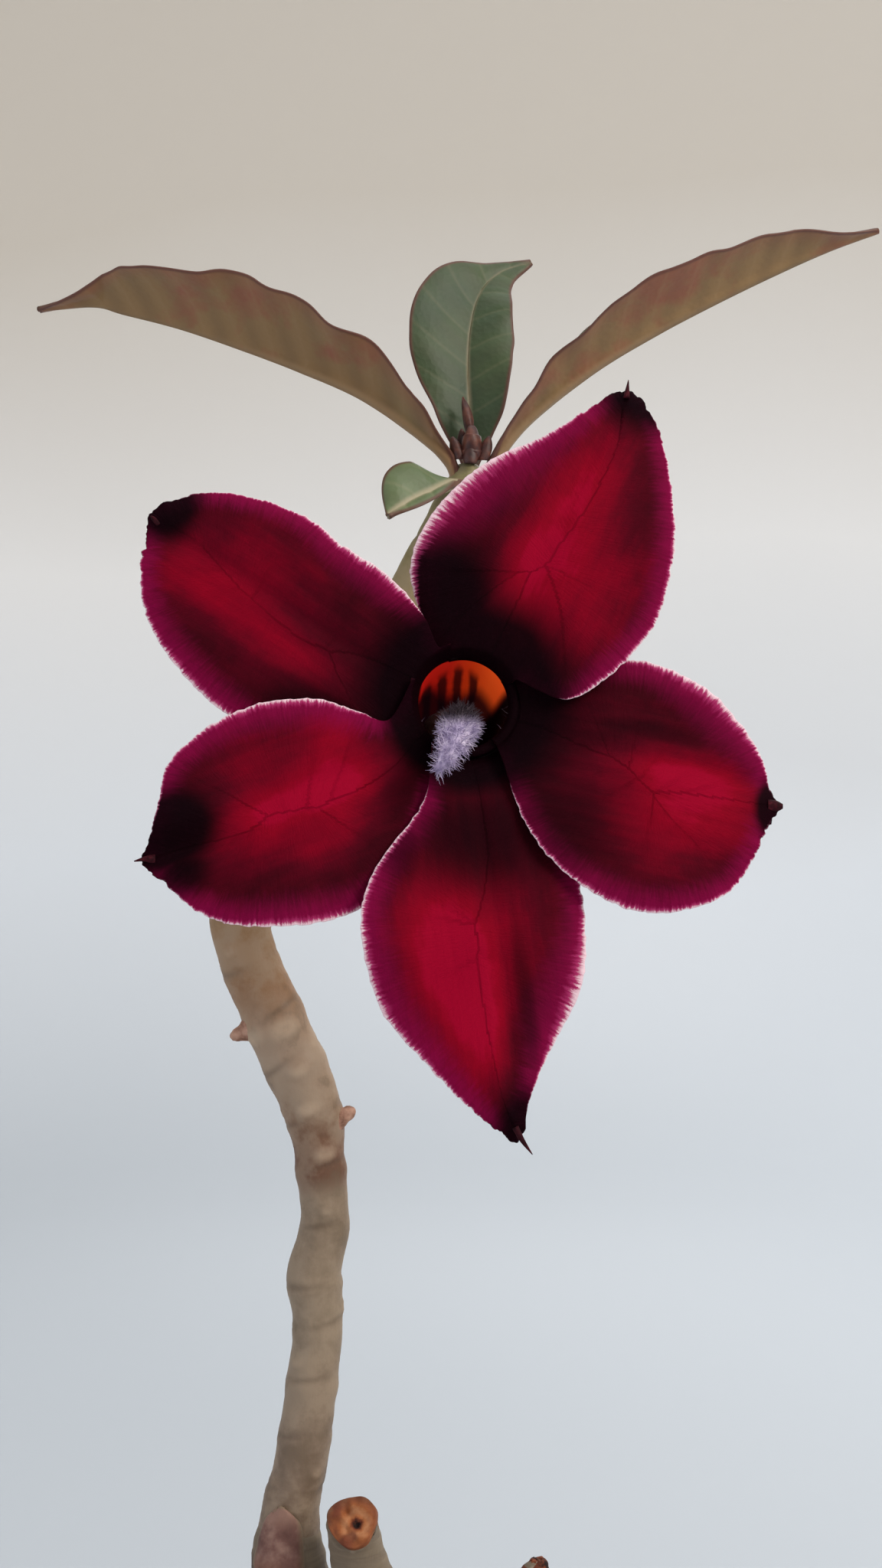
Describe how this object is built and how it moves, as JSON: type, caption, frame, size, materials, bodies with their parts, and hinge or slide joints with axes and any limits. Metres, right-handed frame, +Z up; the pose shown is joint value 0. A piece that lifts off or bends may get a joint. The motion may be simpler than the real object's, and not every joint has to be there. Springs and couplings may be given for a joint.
{
  "type": "potted desert rose",
  "caption": "Grafted desert rose with a swollen base, a thin bent stem, a tuft of leaves and an open dark red flower, in a plain clay pot.",
  "frame": {"origin": "centre of the pot's flat base", "axes": "+Z up, -Y the way the flower faces, +X to the right seen from the front"},
  "size_m": [0.115, 0.115, 0.2977],
  "materials": {
    "clay": "plain unglazed fired clay",
    "soil": "loose bark and grit potting mix",
    "bark": "grey-brown succulent bark, matt",
    "stem_bark": "olive-brown smooth bark with ring scars",
    "leaf": "thick waxy leaf, pinkish brown beneath",
    "bud": "dark red-brown bud scales",
    "petal": "velvety petal, near black at its foot, red in its middle, with a magenta and white rim",
    "anther": "pale hairy anther tail",
    "sepal": "finely haired green-brown sepal and stalk"
  },
  "bodies": {
    "root": {"pot": "clay", "soil": "soil", "rootstock": "bark", "scion_stem": "stem_bark", "leaf_left": "leaf", "leaf_right": "leaf", "leaf_upright": "leaf", "leaf_small": "leaf", "young_leaf": "leaf", "terminal_bud": "bud", "petal_1": "petal", "petal_2": "petal", "petal_3": "petal", "petal_4": "petal", "petal_5": "petal", "corolla_tube": "petal", "anther_cone": "anther", "anther_tail": "anther", "sepal_1": "sepal", "sepal_2": "sepal", "sepal_3": "sepal", "sepal_4": "sepal", "sepal_5": "sepal", "pedicel": "sepal"}
  },
  "joints": []
}
